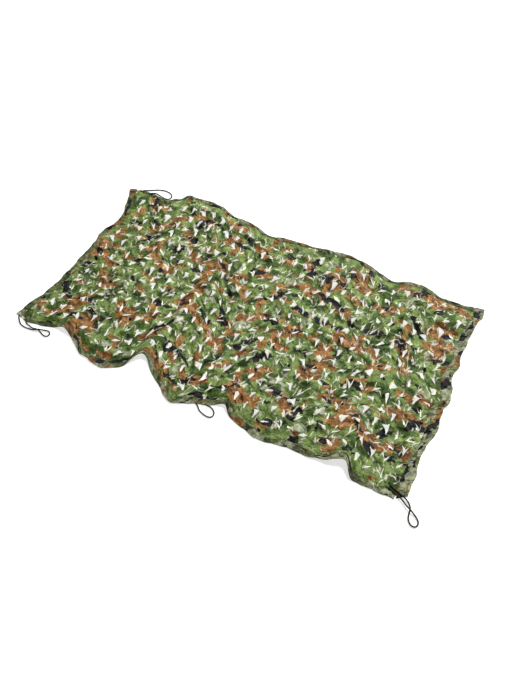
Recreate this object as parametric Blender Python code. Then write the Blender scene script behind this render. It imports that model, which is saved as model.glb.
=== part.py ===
"""A leaf-cut camouflage net laid out on the floor, with bound edges and cord loops.

Metres, +Z up. The long side runs along X and the back edge is at +Y. The net is described in the
flat cut's own coordinates, s along its length and t across its width, which one surface function
turns into places on the floor.
"""

import math

import bmesh
import bpy
import numpy as np
from mathutils import Vector

# Driving dimensions
NET_LENGTH = 1.900
NET_WIDTH = 0.985
CLOTH = 0.0015  # thickness of the panel
TAPE = 0.0010  # thickness of each layer of the binding
SLOT_GAP = 0.0004  # clear space between the panel and each layer of the binding
BINDING_WIDTH = 0.045
BINDING_FOLD = 0.0012  # thickness of the fold along the binding's outer edge
RAW_EDGE = 0.012  # how far the panel's raw edge lies inside the fold
BORDER = 0.050  # width of the uncut border, where the leaf cuts begin
PIECE_GAP = 0.0003
END_GAP = 0.0015  # between the end of one binding and the side of the next

# The leaf cuts stand in columns and rows, one cut in every other cell
COLUMNS = 32
ROWS = 15
LEAF_LENGTH = 0.038
LEAF_WIDTH = 0.027
TONGUE_LENGTH = 0.029
LATTICE_WANDER = 0.004  # how far a cell's corner may lie off the even lattice

# Cord of the loops
CORD = 0.0060
CORD_SPACING = 0.0125  # distance between the points along a loop
CORD_EXIT = 0.012  # straight run of the cord out of the hem
SPAN_STEPS = 20  # steps in each span of the smooth curve that a loop's points are read from

# The outline, one table for each side; columns: along the side, across it
FRONT_EDGE = (
    (-0.954, -0.471),
    (-0.880, -0.486),
    (-0.780, -0.468),
    (-0.699, -0.445),
    (-0.642, -0.478),
    (-0.552, -0.530),
    (-0.448, -0.542),
    (-0.371, -0.503),
    (-0.311, -0.413),
    (-0.219, -0.478),
    (-0.160, -0.516),
    (-0.088, -0.563),
    (-0.017, -0.527),
    (0.060, -0.500),
    (0.121, -0.473),
    (0.160, -0.503),
    (0.239, -0.529),
    (0.340, -0.550),
    (0.433, -0.528),
    (0.557, -0.525),
    (0.599, -0.516),
    (0.667, -0.485),
    (0.723, -0.537),
    (0.810, -0.546),
    (0.890, -0.540),
    (0.915, -0.552),
    (0.947, -0.504),
)
BACK_EDGE = (
    (-0.946, 0.472),
    (-0.881, 0.490),
    (-0.822, 0.491),
    (-0.724, 0.475),
    (-0.676, 0.507),
    (-0.645, 0.550),
    (-0.570, 0.560),
    (-0.442, 0.564),
    (-0.364, 0.538),
    (-0.240, 0.526),
    (-0.142, 0.497),
    (-0.049, 0.513),
    (0.123, 0.531),
    (0.275, 0.551),
    (0.367, 0.532),
    (0.510, 0.492),
    (0.567, 0.516),
    (0.637, 0.528),
    (0.769, 0.499),
    (0.848, 0.500),
    (0.946, 0.518),
)
LEFT_EDGE = (
    (-0.471, -0.954),
    (-0.392, -0.941),
    (-0.291, -0.914),
    (-0.215, -0.901),
    (-0.025, -0.897),
    (0.061, -0.891),
    (0.120, -0.904),
    (0.156, -0.902),
    (0.241, -0.875),
    (0.364, -0.907),
    (0.472, -0.946),
)
RIGHT_EDGE = (
    (-0.504, 0.947),
    (-0.389, 0.939),
    (-0.327, 0.934),
    (-0.183, 0.953),
    (-0.075, 0.946),
    (-0.036, 0.961),
    (0.030, 0.947),
    (0.096, 0.929),
    (0.169, 0.940),
    (0.233, 0.931),
    (0.325, 0.933),
    (0.401, 0.940),
    (0.484, 0.956),
    (0.518, 0.946),
)

# Folds and humps; columns: start x, y and height, end x, y and height, half width
FOLDS = (
    (0.580, 0.285, 0.010, 0.880, 0.378, 0.028, 0.070),
    (0.800, -0.075, 0.006, 0.950, -0.037, 0.020, 0.055),
    (-0.702, -0.440, 0.020, -0.689, -0.272, 0.006, 0.055),
    (-0.472, -0.227, 0.010, -0.362, -0.145, 0.016, 0.050),
    (-0.311, -0.410, 0.026, -0.345, -0.233, 0.010, 0.060),
    (0.124, -0.460, 0.014, 0.131, -0.330, 0.005, 0.045),
    (0.662, -0.470, 0.034, 0.678, -0.370, 0.010, 0.075),
    (0.560, -0.500, 0.008, 0.620, -0.480, 0.014, 0.060),
    (0.542, -0.069, 0.010, 0.603, -0.032, 0.016, 0.045),
    (0.603, -0.032, 0.010, 0.701, -0.085, 0.012, 0.045),
    (0.457, 0.212, 0.010, 0.573, 0.188, 0.014, 0.050),
    (-0.890, 0.110, 0.016, -0.800, 0.055, 0.006, 0.055),
    (-0.690, 0.470, 0.012, -0.650, 0.400, 0.008, 0.055),
    (-0.610, 0.500, 0.014, -0.450, 0.515, 0.010, 0.055),
    (0.205, -0.392, 0.008, 0.357, -0.417, 0.010, 0.055),
    (-0.150, 0.120, 0.004, 0.080, 0.190, 0.010, 0.070),
    (-0.560, 0.190, 0.010, -0.420, 0.260, 0.004, 0.065),
)
ROLLING = 0.006  # height of the low waves between the folds
ROLLING_FLAT = 0.25  # share of the waves' height that lies flat on the floor

# Wave rates; columns: radians for each step of the first and second coordinate, start
ROLLING_ACROSS = (8.3, 2.1, 0.4)
ROLLING_ALONG = (-3.2, 7.1, 2.57)
WANDER_S = (4.7, 2.9, 0.0)
WANDER_T = (3.1, -5.3, 1.0)
LEAF_TURNS = (2.3, 0.9, 0.0)
TONGUE_RISES = (1.7, 2.6, 0.0)

# Which way the leaves point and how far their tongues stand up, in radians
LEAF_HEADING = 3.05  # turn of a leaf whose tip points to the front edge
LEAF_SPLAY = 0.40  # neighbouring leaves point this far to its one side and its other
LEAF_SWING = 0.40
TONGUE_RISE = 0.85
TONGUE_RISE_SWING = 0.25

# A leaf cut; columns: across and along, in shares of its width and length. Its hinge is the first side.
LEAF = (
    (-0.50, -0.45),
    (0.50, -0.45),
    (0.52, 0.08),
    (-0.10, 0.55),
    (-0.34, 0.02),
)

# Section of a binding; columns: inset from its outer edge, height
SLOT = CLOTH + 2 * SLOT_GAP
BINDING_SECTION = (
    (0.0, 0.0),
    (BINDING_WIDTH, 0.0),
    (BINDING_WIDTH, TAPE),
    (BINDING_FOLD, TAPE),
    (BINDING_FOLD, TAPE + SLOT),
    (BINDING_WIDTH, TAPE + SLOT),
    (BINDING_WIDTH, 2 * TAPE + SLOT),
    (0.0, 2 * TAPE + SLOT),
)

ON_FLOOR = CORD / 2 + 0.0001  # height of a cord's middle where it lies on the floor
ON_CORD = ON_FLOOR + CORD + 0.0012  # where it passes over another strand
ON_HEM = 2 * TAPE + SLOT + PIECE_GAP + CORD / 2  # where it lies on a binding

# Where the loops come out of the hem; columns: distance along the cut, slant from square to the hem, in radians
BACK_LEFT_EXITS = ((0.073, 1.03), (0.126, 1.20))
FRONT_LEFT_EXITS = ((0.016, 0.87), (0.061, 1.04))
FRONT_MIDDLE_EXITS = ((0.969, 0.66), (1.010, 1.14))

# Routes of the loops between their ends; columns: x, y, height of the cord's middle
LOOP_BACK_LEFT = (
    (-0.834, 0.514, ON_FLOOR),
    (-0.818, 0.524, ON_FLOOR),
    (-0.800, 0.532, ON_FLOOR),
    (-0.779, 0.537, ON_FLOOR),
    (-0.757, 0.537, ON_FLOOR),
    (-0.737, 0.531, ON_FLOOR),
    (-0.724, 0.519, ON_FLOOR),
    (-0.721, 0.504, ON_FLOOR),
    (-0.728, 0.492, ON_FLOOR),
    (-0.741, 0.487, ON_FLOOR),
    (-0.756, 0.488, ON_FLOOR),
    (-0.773, 0.492, ON_FLOOR),
)
LOOP_FRONT_LEFT = (
    (-0.907, -0.507, ON_FLOOR),
    (-0.892, -0.514, ON_FLOOR),
    (-0.873, -0.517, ON_FLOOR),
    (-0.855, -0.516, ON_FLOOR),
    (-0.838, -0.514, ON_FLOOR),
    (-0.822, -0.510, ON_FLOOR + 0.0025),
    (-0.807, -0.503, ON_CORD),
    (-0.793, -0.496, ON_FLOOR + 0.0025),
    (-0.779, -0.490, ON_FLOOR),
    (-0.764, -0.488, ON_FLOOR),
    (-0.753, -0.493, ON_FLOOR),
    (-0.749, -0.503, ON_FLOOR),
    (-0.753, -0.513, ON_FLOOR),
    (-0.764, -0.517, ON_FLOOR),
    (-0.779, -0.514, ON_FLOOR),
    (-0.793, -0.508, ON_FLOOR),
    (-0.807, -0.503, ON_FLOOR),
    (-0.821, -0.502, ON_FLOOR),
    (-0.835, -0.505, ON_FLOOR),
    (-0.849, -0.504, ON_FLOOR),
    (-0.862, -0.500, ON_FLOOR),
)
LOOP_FRONT_RIGHT = (
    (0.866, -0.494, ON_HEM),
    (0.889, -0.503, ON_HEM),
    (0.912, -0.511, ON_HEM),
    (0.934, -0.519, ON_HEM),
    (0.950, -0.527, ON_HEM - 0.0015),
    (0.963, -0.538, ON_FLOOR + 0.0005),
    (0.970, -0.553, ON_FLOOR),
    (0.972, -0.570, ON_FLOOR),
    (0.975, -0.587, ON_FLOOR),
    (0.983, -0.602, ON_FLOOR),
    (0.996, -0.611, ON_FLOOR),
    (1.009, -0.610, ON_FLOOR),
    (1.016, -0.599, ON_FLOOR),
    (1.013, -0.585, ON_FLOOR),
    (1.002, -0.573, ON_FLOOR),
    (0.987, -0.564, ON_FLOOR + 0.0028),
    (0.970, -0.556, ON_CORD),
    (0.951, -0.546, ON_HEM),
    (0.931, -0.533, ON_HEM),
    (0.911, -0.523, ON_HEM),
    (0.888, -0.514, ON_HEM),
    (0.864, -0.506, ON_HEM),
)
LOOP_FRONT_MIDDLE = (
    (0.043, -0.537, ON_FLOOR),
    (0.060, -0.544, ON_FLOOR),
    (0.078, -0.548, ON_FLOOR),
    (0.094, -0.548, ON_FLOOR),
    (0.104, -0.541, ON_FLOOR),
    (0.106, -0.529, ON_FLOOR),
    (0.101, -0.517, ON_FLOOR),
    (0.090, -0.508, ON_FLOOR),
)

# Colours; columns: red, green, blue
PANEL_GREEN = (0.105, 0.150, 0.055)
BINDING_GREEN = (0.130, 0.165, 0.100)
CORD_GREEN = (0.030, 0.042, 0.020)


def eased(at, table):
    """A smooth curve through a table's rows that never passes beyond them, read at each value of at."""
    xs = np.array([row[0] for row in table])
    ys = np.array([row[1] for row in table])
    rise = np.diff(ys) / np.diff(xs)
    slope = np.zeros_like(xs)
    same = rise[:-1] * rise[1:] > 0
    slope[1:-1][same] = 2 * rise[:-1][same] * rise[1:][same] / (rise[:-1] + rise[1:])[same]
    slope[0] = rise[0]
    slope[-1] = rise[-1]
    k = np.clip(np.searchsorted(xs, at) - 1, 0, len(xs) - 2)
    width = xs[k + 1] - xs[k]
    u = (at - xs[k]) / width
    start = (1 + 2 * u) * (1 - u) ** 2 * ys[k] + u * (1 - u) ** 2 * width * slope[k]
    end = u * u * (3 - 2 * u) * ys[k + 1] + u * u * (u - 1) * width * slope[k + 1]
    return start + end


def along(share, table):
    """The point at a share of the way along a side's table, as its two coordinates."""
    first = table[0][0]
    last = table[-1][0]
    place = first + share * (last - first)
    return place, eased(place, table)


def plan(s, t):
    """Places on the floor: the flat cut's rectangle blended between its four sides."""
    u = s / NET_LENGTH
    v = t / NET_WIDTH
    front_x, front_y = along(u, FRONT_EDGE)
    back_x, back_y = along(u, BACK_EDGE)
    left_y, left_x = along(v, LEFT_EDGE)
    right_y, right_x = along(v, RIGHT_EDGE)
    corners = (FRONT_EDGE[0], FRONT_EDGE[-1], BACK_EDGE[0], BACK_EDGE[-1])
    shares = ((1 - u) * (1 - v), u * (1 - v), (1 - u) * v, u * v)
    x = (1 - v) * front_x + v * back_x + (1 - u) * left_x + u * right_x
    y = (1 - v) * front_y + v * back_y + (1 - u) * left_y + u * right_y
    for share, corner in zip(shares, corners):
        x = x - share * corner[0]
        y = y - share * corner[1]
    return x, y


def wave(first, second, rates):
    """A sine that runs along both coordinates at the given rates."""
    return np.sin(rates[0] * first + rates[1] * second + rates[2])


def fold_height(x, y):
    """Height of the folds and low waves over a place on the floor; nought where the net lies flat."""
    waves = wave(x, y, ROLLING_ACROSS) * wave(x, y, ROLLING_ALONG)
    height = ROLLING * np.maximum(waves - ROLLING_FLAT, 0.0)
    for x0, y0, h0, x1, y1, h1, half_width in FOLDS:
        run_x = x1 - x0
        run_y = y1 - y0
        share = ((x - x0) * run_x + (y - y0) * run_y) / (run_x * run_x + run_y * run_y)
        share = np.clip(share, 0.0, 1.0)
        away = np.hypot(x - x0 - share * run_x, y - y0 - share * run_y)
        bump = np.cos(0.5 * math.pi * np.minimum(away / half_width, 1.0)) ** 2
        height = height + (h0 + share * (h1 - h0)) * bump
    return height


def outline_centre():
    """The middle of the outline's box, which the net is centred on."""
    lines_s = np.array([s_line(a) for a in range(-1, 2 * COLUMNS + 2)])
    lines_t = np.array([t_line(b) for b in range(-1, 2 * ROWS + 2)])
    xs = []
    ys = []
    for s, t in ((lines_s, 0.0), (lines_s, NET_WIDTH), (0.0, lines_t), (NET_LENGTH, lines_t)):
        x, y = plan(s, t)
        xs.extend(x)
        ys.extend(y)
    return (min(xs) + max(xs)) / 2, (min(ys) + max(ys)) / 2


def s_line(a, outer=0.0):
    """Distance along the cut of half column a; the lines before and after the lattice are the edges."""
    if a < 0:
        return outer
    if a > 2 * COLUMNS:
        return NET_LENGTH - outer
    return BORDER + a * (NET_LENGTH - 2 * BORDER) / (2 * COLUMNS)


def t_line(b, outer=0.0):
    """Distance across the cut of half row b."""
    if b < 0:
        return outer
    if b > 2 * ROWS:
        return NET_WIDTH - outer
    return BORDER + b * (NET_WIDTH - 2 * BORDER) / (2 * ROWS)


def border_lines(value, size):
    """The border's inner and outer line on this side, and the share of the way between them."""
    if value < BORDER:
        return BORDER, 0.0, 1.0 - value / BORDER
    if value > size - BORDER:
        return size - BORDER, size, 1.0 - (size - value) / BORDER
    return value, value, 0.0


def place(s, t, lift=0.0):
    """A point of the laid-out net. Each border is straight and level across its width."""
    inner_s, outer_s, share_s = border_lines(s, NET_LENGTH)
    inner_t, outer_t, share_t = border_lines(t, NET_WIDTH)
    x = -CENTRE[0]
    y = -CENTRE[1]
    for line_s, weight_s in ((inner_s, 1.0 - share_s), (outer_s, share_s)):
        for line_t, weight_t in ((inner_t, 1.0 - share_t), (outer_t, share_t)):
            corner_x, corner_y = plan(line_s, line_t)
            x += weight_s * weight_t * float(corner_x)
            y += weight_s * weight_t * float(corner_y)
    return x, y, float(fold_height(*plan(inner_s, inner_t))) + lift


def panel_lift(s, t):
    """The panel's edge lies on the binding's lower layer, and its middle on the floor."""
    inset = min(s, NET_LENGTH - s, t, NET_WIDTH - t)
    pitch = (NET_LENGTH - 2 * BORDER) / COLUMNS
    share = (BORDER + pitch - inset) / pitch
    return (TAPE + SLOT_GAP) * min(max(share, 0.0), 1.0)


def lattice_point(a, b):
    """Flat-cut coordinates of half column a and half row b, with the cells' inner corners wandering."""
    s = s_line(a, RAW_EDGE)
    t = t_line(b, RAW_EDGE)
    if 0 < a < 2 * COLUMNS and 0 < b < 2 * ROWS:
        s += LATTICE_WANDER * wave(a, b, WANDER_S)
        t += LATTICE_WANDER * wave(a, b, WANDER_T)
    return s, t


def leaf_turn(i, j):
    """Which way the leaf of a cell points, in radians."""
    side = 1 if (i // 2 + j) % 2 else -1
    return LEAF_HEADING + side * LEAF_SPLAY + LEAF_SWING * wave(i, j, LEAF_TURNS)


def leaf_points(i, j):
    """Flat-cut coordinates of a cell's leaf cut, anticlockwise from its hinge."""
    corners = [lattice_point(2 * i + da, 2 * j + db) for da, db in ((0, 0), (2, 0), (2, 2), (0, 2))]
    middle_s = sum(corner[0] for corner in corners) / 4
    middle_t = sum(corner[1] for corner in corners) / 4
    turn = leaf_turn(i, j)
    points = []
    for across, lengthwise in LEAF:
        x = across * LEAF_WIDTH
        y = lengthwise * LEAF_LENGTH
        s = middle_s + x * math.cos(turn) - y * math.sin(turn)
        t = middle_t + x * math.sin(turn) + y * math.cos(turn)
        points.append((s, t))
    return points


def ring_faces(bm, outer, inner):
    """Fill the ring between two loops of vertices with triangles, going round by angle."""
    middle_x = sum(vert.co.x for vert in inner) / len(inner)
    middle_y = sum(vert.co.y for vert in inner) / len(inner)

    def bearing(vert):
        return math.atan2(vert.co.y - middle_y, vert.co.x - middle_x)

    outer = sorted(outer, key=bearing)
    inner = sorted(inner, key=bearing)
    outer.append(outer[0])
    inner.append(inner[0])
    full = 2 * math.pi
    outer_turns = [bearing(vert) for vert in outer[:-1]] + [bearing(outer[0]) + full]
    inner_turns = [bearing(vert) for vert in inner[:-1]] + [bearing(inner[0]) + full]
    i = 0
    j = 0
    while i < len(outer) - 1 or j < len(inner) - 1:
        outer_left = i < len(outer) - 1
        inner_left = j < len(inner) - 1
        if outer_left and (not inner_left or outer_turns[i + 1] <= inner_turns[j + 1]):
            bm.faces.new((outer[i], outer[i + 1], inner[j]))
            i += 1
        else:
            bm.faces.new((outer[i], inner[j + 1], inner[j]))
            j += 1


def add_tongue(bm, hole, i, j):
    """The leaf's tongue: a flap hinged on the hole's first side and bent up out of the sheet."""
    left = hole[0].co
    right = hole[1].co
    tip_in_sheet = hole[3].co
    hinge = (left + right) / 2
    reach = (tip_in_sheet - hinge).normalized()
    up = TONGUE_RISE + TONGUE_RISE_SWING * wave(i, j, TONGUE_RISES)
    tip = hinge + TONGUE_LENGTH * (reach * math.cos(up))
    tip.z += TONGUE_LENGTH * math.sin(up)
    top = bm.verts.new(tip)
    bm.faces.new((hole[0], hole[1], top))
    return top


def net_sheet(bm):
    """The open sheet of the panel. Returns the tips of its tongues."""
    grid = {}

    def vert(a, b):
        if (a, b) not in grid:
            s, t = lattice_point(a, b)
            grid[a, b] = bm.verts.new(place(s, t, panel_lift(s, t)))
        return grid[a, b]

    def quad(a, b):
        bm.faces.new((vert(a, b), vert(a + 1, b), vert(a + 1, b + 1), vert(a, b + 1)))

    last_a = 2 * COLUMNS
    last_b = 2 * ROWS
    for a in range(-1, last_a + 1):
        quad(a, -1)
        quad(a, last_b)
    for b in range(last_b):
        quad(-1, b)
        quad(last_a, b)
    tips = []
    for i in range(COLUMNS):
        for j in range(ROWS):
            around = cell_outline(i, j, vert)
            if (i + j) % 2:
                bm.faces.new(around)
                continue
            hole = [bm.verts.new(place(s, t, panel_lift(s, t))) for s, t in leaf_points(i, j)]
            ring_faces(bm, around, hole)
            tips.append(add_tongue(bm, hole, i, j))
    return tips


def cell_outline(i, j, vert):
    """A cell's corners, anticlockwise, with the middles of the sides that meet the border."""
    a = 2 * i
    b = 2 * j
    around = [vert(a, b)]
    if j == 0:
        around.append(vert(a + 1, b))
    around.append(vert(a + 2, b))
    if i == COLUMNS - 1:
        around.append(vert(a + 2, b + 1))
    around.append(vert(a + 2, b + 2))
    if j == ROWS - 1:
        around.append(vert(a + 1, b + 2))
    around.append(vert(a, b + 2))
    if i == 0:
        around.append(vert(a, b + 1))
    return around


def add_object(name, bm, collection, material):
    """Put a finished bmesh into the collection as an object."""
    bmesh.ops.recalc_face_normals(bm, faces=bm.faces[:])
    mesh = bpy.data.meshes.new(name)
    bm.to_mesh(mesh)
    bm.free()
    mesh.materials.append(material)
    obj = bpy.data.objects.new(name, mesh)
    collection.objects.link(obj)
    return obj


def make_panel(collection, material):
    """The leaf-cut cloth: its sheet, given a thickness upwards. Each tongue thickens square to itself."""
    bm = bmesh.new()
    tips = net_sheet(bm)
    bm.normal_update()
    tip_normals = {tuple(tip.co): tip.normal.copy() for tip in tips}
    lower = set(bm.verts)
    extruded = bmesh.ops.extrude_face_region(bm, geom=bm.faces[:], use_keep_orig=True)
    for item in extruded["geom"]:
        if isinstance(item, bmesh.types.BMVert) and item not in lower:
            item.co += CLOTH * tip_normals.get(tuple(item.co), Vector((0.0, 0.0, 1.0)))
    return add_object("net_panel", bm, collection, material)


def make_binding(name, collection, material, stations, corner):
    """A folded strip along one side. corner(station, inset) gives the flat-cut coordinates."""
    bm = bmesh.new()
    rings = []
    for station in stations:
        ring = []
        for inset, height in BINDING_SECTION:
            s, t = corner(station, inset)
            ring.append(bm.verts.new(place(s, t, height)))
        rings.append(ring)
    sides = len(BINDING_SECTION)
    for ring, following in zip(rings, rings[1:]):
        for k in range(sides):
            n = (k + 1) % sides
            bm.faces.new((ring[k], ring[n], following[n], following[k]))
    bm.faces.new(rings[0])
    bm.faces.new(rings[-1])
    return add_object(name, bm, collection, material)


def make_bindings(collection, material):
    """Left and right bindings run the full width; the front and back ones stop between them."""
    end = BINDING_WIDTH + END_GAP
    along_s = [s_line(a) for a in range(2 * COLUMNS + 1)]
    along_s = [end] + along_s + [NET_LENGTH - end]
    along_t = [t_line(b) for b in range(-1, 2 * ROWS + 2)]
    make_binding("binding_front", collection, material, along_s, lambda s, inset: (s, inset))
    make_binding("binding_back", collection, material, along_s, lambda s, inset: (s, NET_WIDTH - inset))
    make_binding("binding_left", collection, material, along_t, lambda t, inset: (inset, t))
    make_binding("binding_right", collection, material, along_t, lambda t, inset: (NET_LENGTH - inset, t))


def hem_exit(s, slant, outwards, side_t):
    """Two points of a straight run out of the hem at s, on the front edge (-1) or the back edge (+1)."""
    ahead = place(s + CORD, side_t)
    behind = place(s - CORD, side_t)
    run_x = ahead[0] - behind[0]
    run_y = ahead[1] - behind[1]
    run = math.hypot(run_x, run_y)
    out_x = (math.sin(slant) * run_x - math.cos(slant) * outwards * run_y) / run
    out_y = (math.sin(slant) * run_y + math.cos(slant) * outwards * run_x) / run
    clear = (2 * PIECE_GAP + math.sin(slant) * CORD / 2) / math.cos(slant)
    x, y, z = place(s, side_t)
    first = (x + clear * out_x, y + clear * out_y, z + ON_FLOOR)
    clear += CORD_EXIT
    return first, (x + clear * out_x, y + clear * out_y, ON_FLOOR)


def centred(route):
    """A route's points in the net's own frame."""
    return [(x - CENTRE[0], y - CENTRE[1], z) for x, y, z in route]


def smooth_route(points):
    """A Catmull-Rom curve through the route's points, read at an even spacing."""
    knots = np.array(points)
    knots = np.vstack((2 * knots[0] - knots[1], knots, 2 * knots[-1] - knots[-2]))
    fine = []
    for p0, p1, p2, p3 in zip(knots, knots[1:], knots[2:], knots[3:]):
        for u in np.linspace(0.0, 1.0, SPAN_STEPS, endpoint=False):
            bend = 2 * p0 - 5 * p1 + 4 * p2 - p3
            turn = 3 * p1 - p0 - 3 * p2 + p3
            fine.append(0.5 * (2 * p1 + (p2 - p0) * u + bend * u * u + turn * u ** 3))
    fine.append(knots[-2])
    fine = np.array(fine)
    travel = np.concatenate(([0.0], np.cumsum(np.linalg.norm(np.diff(fine, axis=0), axis=1))))
    count = max(2, round(travel[-1] / CORD_SPACING) + 1)
    even = np.linspace(0.0, travel[-1], count)
    route = np.column_stack([np.interp(even, travel, fine[:, k]) for k in range(3)])
    route[:, 2] = np.maximum(route[:, 2], ON_FLOOR)
    return route, travel[-1]


def make_loop(name, collection, material, points):
    """A loop of cord: a round tube along the smooth route."""
    route, length = smooth_route(points)
    curve = bpy.data.curves.new(name, "CURVE")
    curve.dimensions = "3D"
    curve.bevel_depth = CORD / 2
    curve.bevel_resolution = 2
    curve.use_fill_caps = True
    spline = curve.splines.new("POLY")
    spline.points.add(len(route) - 1)
    for point, (x, y, z) in zip(spline.points, route):
        point.co = (x, y, z, 1.0)
    curve.materials.append(material)
    obj = bpy.data.objects.new(name, curve)
    collection.objects.link(obj)
    print(f"{name}: {length:.3f} m of cord, {len(route)} points")
    return obj


def hem_loop(route, exits, outwards, side_t):
    """The whole route of a loop whose two ends come out of the hem."""
    first, start = hem_exit(*exits[0], outwards, side_t)
    last, finish = hem_exit(*exits[1], outwards, side_t)
    return [first, start, *centred(route), finish, last]


def make_loops(collection, material):
    """The cord loops at three corners and at the middle of the front."""
    routes = {
        "loop_back_left": hem_loop(LOOP_BACK_LEFT, BACK_LEFT_EXITS, 1, NET_WIDTH),
        "loop_front_left": hem_loop(LOOP_FRONT_LEFT, FRONT_LEFT_EXITS, -1, 0.0),
        "loop_front_right": centred(LOOP_FRONT_RIGHT),
        "loop_front_middle": hem_loop(LOOP_FRONT_MIDDLE, FRONT_MIDDLE_EXITS, -1, 0.0),
    }
    for name, points in routes.items():
        make_loop(name, collection, material, points)


def new_material(name, colour, roughness):
    """A plain Principled material."""
    material = bpy.data.materials.new(name)
    material.use_nodes = True
    shader = material.node_tree.nodes["Principled BSDF"]
    shader.inputs["Base Color"].default_value = (*colour, 1.0)
    shader.inputs["Roughness"].default_value = roughness
    shader.inputs["Metallic"].default_value = 0.0
    return material


def main():
    for obj in list(bpy.data.objects):
        bpy.data.objects.remove(obj, do_unlink=True)
    collection = bpy.data.collections.new("camouflage_net")
    bpy.context.scene.collection.children.link(collection)
    make_panel(collection, new_material("printed_cloth", PANEL_GREEN, 0.75))
    make_bindings(collection, new_material("binding_cloth", BINDING_GREEN, 0.80))
    make_loops(collection, new_material("olive_cord", CORD_GREEN, 0.70))


CENTRE = outline_centre()
main()
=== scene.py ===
import math

import bpy
import numpy as np
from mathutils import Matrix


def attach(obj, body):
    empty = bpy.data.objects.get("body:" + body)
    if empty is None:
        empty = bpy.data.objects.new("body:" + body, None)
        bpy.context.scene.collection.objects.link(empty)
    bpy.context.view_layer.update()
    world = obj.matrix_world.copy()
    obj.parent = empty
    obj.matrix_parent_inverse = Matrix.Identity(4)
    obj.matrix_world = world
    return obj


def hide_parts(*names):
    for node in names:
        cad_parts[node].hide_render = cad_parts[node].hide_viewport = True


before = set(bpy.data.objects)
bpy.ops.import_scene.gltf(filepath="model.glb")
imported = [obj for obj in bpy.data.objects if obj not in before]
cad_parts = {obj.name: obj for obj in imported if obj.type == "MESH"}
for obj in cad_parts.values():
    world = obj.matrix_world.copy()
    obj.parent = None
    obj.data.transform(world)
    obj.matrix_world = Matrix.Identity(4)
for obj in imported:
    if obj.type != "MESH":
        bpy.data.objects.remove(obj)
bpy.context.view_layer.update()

print("frame loaded:", len(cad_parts), "solids")

# How the net lies on the floor, as its solids do, in metres
layout = {
    "length": 1.900,
    "width": 0.985,
    "border": 0.050,  # uncut border where the leaf cuts begin
    "rawEdge": 0.012,  # how far the panel's raw edge lies inside the binding's fold
    "columns": 32,
    "rows": 15,
    "wander": 0.004,  # most that a cell's corner lies off the even lattice
    "wanderRates": ((4.7, 2.9, 0.0), (3.1, -5.3, 1.0)),
    "tape": 0.0010,  # one layer of the binding's solid
    "slot": 0.0023,  # between the two layers
    "slotGap": 0.0004,
    "rolling": 0.006,  # height of the low waves between the folds
    "rollingFlat": 0.25,
    "rollingRates": ((8.3, 2.1, 0.4), (-3.2, 7.1, 2.57)),
    "heading": 3.05,  # turn of a leaf whose tip points to the front edge
    "splay": 0.40,  # neighbouring leaves point this far to its one side and its other
    "swing": 0.40,
    "swingRates": (2.3, 0.9, 0.0),
}
netLength, netWidth = layout["length"], layout["width"]

# Each side's outline in millimetres; columns: along the side, across it
frontEdge = np.array([
    (-954, -471), (-880, -486), (-780, -468), (-699, -445), (-642, -478), (-552, -530), (-448, -542),
    (-371, -503), (-311, -413), (-219, -478), (-160, -516), (-88, -563), (-17, -527), (60, -500),
    (121, -473), (160, -503), (239, -529), (340, -550), (433, -528), (557, -525), (599, -516),
    (667, -485), (723, -537), (810, -546), (890, -540), (915, -552), (947, -504),
]) * 0.001
backEdge = np.array([
    (-946, 472), (-881, 490), (-822, 491), (-724, 475), (-676, 507), (-645, 550), (-570, 560),
    (-442, 564), (-364, 538), (-240, 526), (-142, 497), (-49, 513), (123, 531), (275, 551), (367, 532),
    (510, 492), (567, 516), (637, 528), (769, 499), (848, 500), (946, 518),
]) * 0.001
leftEdge = np.array([
    (-471, -954), (-392, -941), (-291, -914), (-215, -901), (-25, -897), (61, -891), (120, -904),
    (156, -902), (241, -875), (364, -907), (472, -946),
]) * 0.001
rightEdge = np.array([
    (-504, 947), (-389, 939), (-327, 934), (-183, 953), (-75, 946), (-36, 961), (30, 947), (96, 929),
    (169, 940), (233, 931), (325, 933), (401, 940), (484, 956), (518, 946),
]) * 0.001

# Folds and humps in millimetres; columns: start x, y, height, end x, y, height, half width
foldTable = np.array([
    (580, 285, 10, 880, 378, 28, 70), (800, -75, 6, 950, -37, 20, 55),
    (-702, -440, 20, -689, -272, 6, 55), (-472, -227, 10, -362, -145, 16, 50),
    (-311, -410, 26, -345, -233, 10, 60), (124, -460, 14, 131, -330, 5, 45),
    (662, -470, 34, 678, -370, 10, 75), (560, -500, 8, 620, -480, 14, 60),
    (542, -69, 10, 603, -32, 16, 45), (603, -32, 10, 701, -85, 12, 45),
    (457, 212, 10, 573, 188, 14, 50), (-890, 110, 16, -800, 55, 6, 55),
    (-690, 470, 12, -650, 400, 8, 55), (-610, 500, 14, -450, 515, 10, 55),
    (205, -392, 8, 357, -417, 10, 55), (-150, 120, 4, 80, 190, 10, 70),
    (-560, 190, 10, -420, 260, 4, 65),
]) * 0.001


def wave(first, second, rates):
    # sine of (rate 1 x first + rate 2 x second + start)
    return np.sin(rates[0] * first + rates[1] * second + rates[2])


def easedCurve(at, table):
    # cubic between the rows, its slopes the harmonic mean of the two sides, so it never overshoots
    xs, ys = table[:, 0], table[:, 1]
    rise = np.diff(ys) / np.diff(xs)
    slope = np.zeros_like(xs)
    same = rise[:-1] * rise[1:] > 0
    slope[1:-1][same] = 2 * rise[:-1][same] * rise[1:][same] / (rise[:-1] + rise[1:])[same]
    slope[0], slope[-1] = rise[0], rise[-1]
    k = np.clip(np.searchsorted(xs, at) - 1, 0, len(xs) - 2)
    width = xs[k + 1] - xs[k]
    u = (at - xs[k]) / width
    start = (1 + 2 * u) * (1 - u) ** 2 * ys[k] + u * (1 - u) ** 2 * width * slope[k]
    end = u * u * (3 - 2 * u) * ys[k + 1] + u * u * (u - 1) * width * slope[k + 1]
    return start + end


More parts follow.
